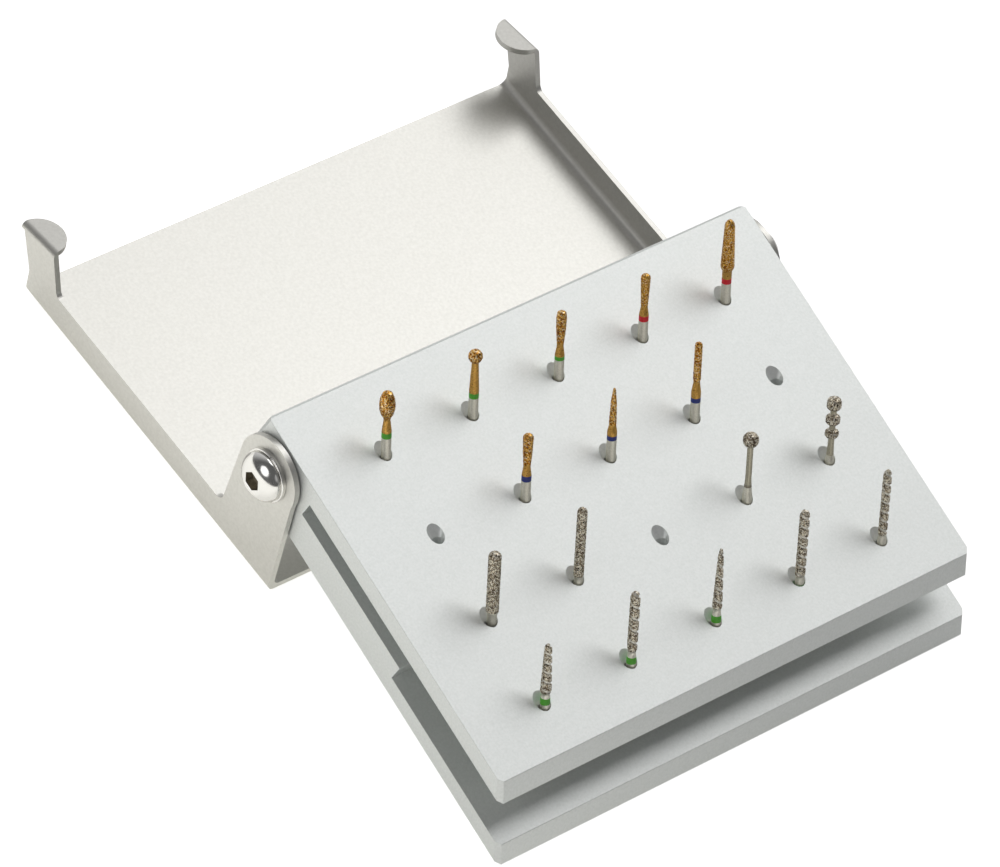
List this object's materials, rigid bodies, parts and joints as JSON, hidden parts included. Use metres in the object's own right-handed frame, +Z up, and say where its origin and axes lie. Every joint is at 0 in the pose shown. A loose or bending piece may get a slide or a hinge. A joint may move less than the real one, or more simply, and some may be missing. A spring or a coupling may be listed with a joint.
{
  "type": "dental bur block",
  "caption": "Tilted aluminium bur holder with a folded sheet lid hinged at the back, and dental burs standing in drilled holes",
  "frame": {"origin": "on the table, under the middle of the hinge axis", "axes": "+X along the hinge, +Y back over the open lid, +Z up from the table"},
  "size_m": [0.109, 0.131, 0.0395],
  "materials": {
    "block": "satin anodised",
    "lid": "satin blasted stainless sheet",
    "screw": "polished stainless",
    "washer": "polished",
    "gold_bur": "gold-coated grit head, grey shank with a painted ring",
    "silver_bur": "bonded grit head, grey shank"
  },
  "bodies": {
    "base": {"block": "block", "hinge_screw_left": "screw", "hinge_screw_right": "screw", "hinge_washer_left": "washer", "hinge_washer_right": "washer", "bur_egg": "gold_bur", "bur_ball": "gold_bur", "bur_pear": "gold_bur", "bur_small_pear": "gold_bur", "bur_shouldered_taper": "gold_bur", "bur_round_pear": "gold_bur", "bur_flame": "gold_bur", "bur_round_taper": "gold_bur", "bur_wide_cylinder": "silver_bur", "bur_cylinder": "silver_bur", "bur_long_neck_ball": "silver_bur", "bur_three_bead": "silver_bur", "bur_spiral_short": "silver_bur", "bur_spiral_wide": "silver_bur", "bur_spiral_needle": "silver_bur", "bur_spiral_long": "silver_bur", "bur_spiral_slim": "silver_bur"},
    "lid": {"lid": "lid"}
  },
  "joints": [
    {"name": "lid_hinge", "type": "hinge", "parent": "base", "child": "lid", "pos_m": [0, 0, 0.0205], "axis": [1, 0, 0], "range_deg": [0, 191.7]}
  ]
}
